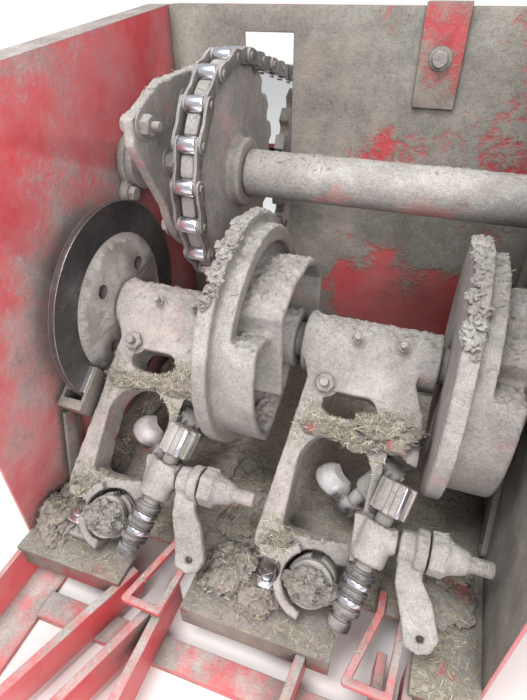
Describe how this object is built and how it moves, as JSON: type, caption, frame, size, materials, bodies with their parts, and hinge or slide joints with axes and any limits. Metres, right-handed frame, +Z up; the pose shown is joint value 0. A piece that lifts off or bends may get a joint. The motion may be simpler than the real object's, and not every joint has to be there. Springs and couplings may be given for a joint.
{
  "type": "twin twine-knotter station of a square baler",
  "caption": "Open sheet-metal compartment with a cam shaft, brake disc, twine-knotter heads, drive tube and chain, standing on flat rails.",
  "frame": {"origin": "on the floor under the middle of the base", "axes": "+Z up, the viewer stands at -Y, the knotter shaft lies along X, +X to the viewer's right"},
  "size_m": [0.616, 0.956, 0.577],
  "materials": {
    "red_paint": "worn red paint under dust",
    "dusty_sheet": "red painted sheet under thick grey-brown dust",
    "dusty_casting": "rough casting caked with grey-beige dust",
    "dusty_steel": "machined steel dulled by dust",
    "brake_iron": "rubbed dark iron with a bright rim",
    "bright_steel": "steel polished by twine",
    "chain_steel": "chain with rubbed bright rollers and dusty plates"
  },
  "bodies": {
    "station": {"side_plate_left": "red_paint", "side_plate_right": "red_paint", "back_strap": "red_paint", "rail_left": "red_paint", "rail_right": "red_paint", "cross_front": "red_paint", "cross_rear": "red_paint", "slat_1": "red_paint", "slat_2": "red_paint", "slat_3": "red_paint", "slat_4": "red_paint", "slat_5": "red_paint", "slat_6": "red_paint", "brake_bracket": "red_paint", "twine_guide_1": "red_paint", "twine_guide_2": "red_paint", "rear_bracket": "red_paint", "back_plate": "dusty_sheet", "knotter_table": "dusty_sheet", "shaft_bearing_left": "dusty_casting", "shaft_bearing_right": "dusty_casting", "tube_bearing_left": "dusty_casting", "tube_bearing_right": "dusty_casting", "knotter_frame_1": "dusty_casting", "knotter_frame_2": "dusty_casting", "flange_plate": "dusty_casting", "chain_wheel": "dusty_steel", "rear_wheel": "dusty_steel", "drive_tube": "dusty_steel", "stay_bar": "dusty_steel", "pivot_stud_1": "dusty_steel", "pivot_stud_2": "dusty_steel", "brake_pads": "brake_iron", "foot_bolt_1": "bright_steel", "foot_bolt_2": "bright_steel", "chain": "chain_steel"},
    "knotter_shaft_group": {"knotter_shaft": "bright_steel", "brake_disc": "brake_iron", "cam_disc_1": "dusty_casting", "cam_disc_2": "dusty_casting"},
    "bill_hook_group_1": {"bill_hook_1": "bright_steel", "hook_tongue_1": "bright_steel"},
    "worm_group_1": {"worm_1": "bright_steel"},
    "twine_disc_group_1": {"twine_disc_1": "bright_steel"},
    "stripper_group_1": {"stripper_arm_1": "dusty_casting"},
    "bill_hook_group_2": {"bill_hook_2": "bright_steel", "hook_tongue_2": "bright_steel"},
    "worm_group_2": {"worm_2": "bright_steel"},
    "twine_disc_group_2": {"twine_disc_2": "bright_steel"},
    "stripper_group_2": {"stripper_arm_2": "dusty_casting"}
  },
  "joints": [
    {"name": "knotter_shaft_turn", "type": "hinge", "parent": "station", "child": "knotter_shaft_group", "pos_m": [0, -0.078, 0.258], "axis": [1, 0, 0], "continuous": true},
    {"name": "bill_hook_turn_1", "type": "hinge", "parent": "station", "child": "bill_hook_group_1", "pos_m": [-0.137, -0.18019, 0.11622], "axis": [0.5446, 0.2029, 0.8138], "continuous": true},
    {"name": "worm_turn_1", "type": "hinge", "parent": "station", "child": "worm_group_1", "pos_m": [-0.091, -0.20233, 0.18521], "axis": [0.2079, 0.7036, 0.6795], "continuous": true},
    {"name": "twine_disc_turn_1", "type": "hinge", "parent": "station", "child": "twine_disc_group_1", "pos_m": [-0.156, -0.28011, 0.10453], "axis": [0, 0.6947, -0.7193], "continuous": true},
    {"name": "stripper_swing_1", "type": "hinge", "parent": "station", "child": "stripper_group_1", "pos_m": [-0.067, -0.23963, 0.15474], "axis": [1, 0, 0], "range_deg": [-8, 8]},
    {"name": "bill_hook_turn_2", "type": "hinge", "parent": "station", "child": "bill_hook_group_2", "pos_m": [0.103, -0.18019, 0.11622], "axis": [0.5446, 0.2029, 0.8138], "continuous": true},
    {"name": "worm_turn_2", "type": "hinge", "parent": "station", "child": "worm_group_2", "pos_m": [0.149, -0.20233, 0.18521], "axis": [0.2079, 0.7036, 0.6795], "continuous": true},
    {"name": "twine_disc_turn_2", "type": "hinge", "parent": "station", "child": "twine_disc_group_2", "pos_m": [0.084, -0.28011, 0.10453], "axis": [0, 0.6947, -0.7193], "continuous": true},
    {"name": "stripper_swing_2", "type": "hinge", "parent": "station", "child": "stripper_group_2", "pos_m": [0.173, -0.23963, 0.15474], "axis": [1, 0, 0], "range_deg": [-8, 8]}
  ],
  "couplings": [
    {"joint": "bill_hook_turn_1", "follows": "knotter_shaft_turn", "ratio": 1},
    {"joint": "worm_turn_1", "follows": "knotter_shaft_turn", "ratio": 1},
    {"joint": "twine_disc_turn_1", "follows": "knotter_shaft_turn", "ratio": 0.125},
    {"joint": "bill_hook_turn_2", "follows": "knotter_shaft_turn", "ratio": 1},
    {"joint": "worm_turn_2", "follows": "knotter_shaft_turn", "ratio": 1},
    {"joint": "twine_disc_turn_2", "follows": "knotter_shaft_turn", "ratio": 0.125}
  ]
}
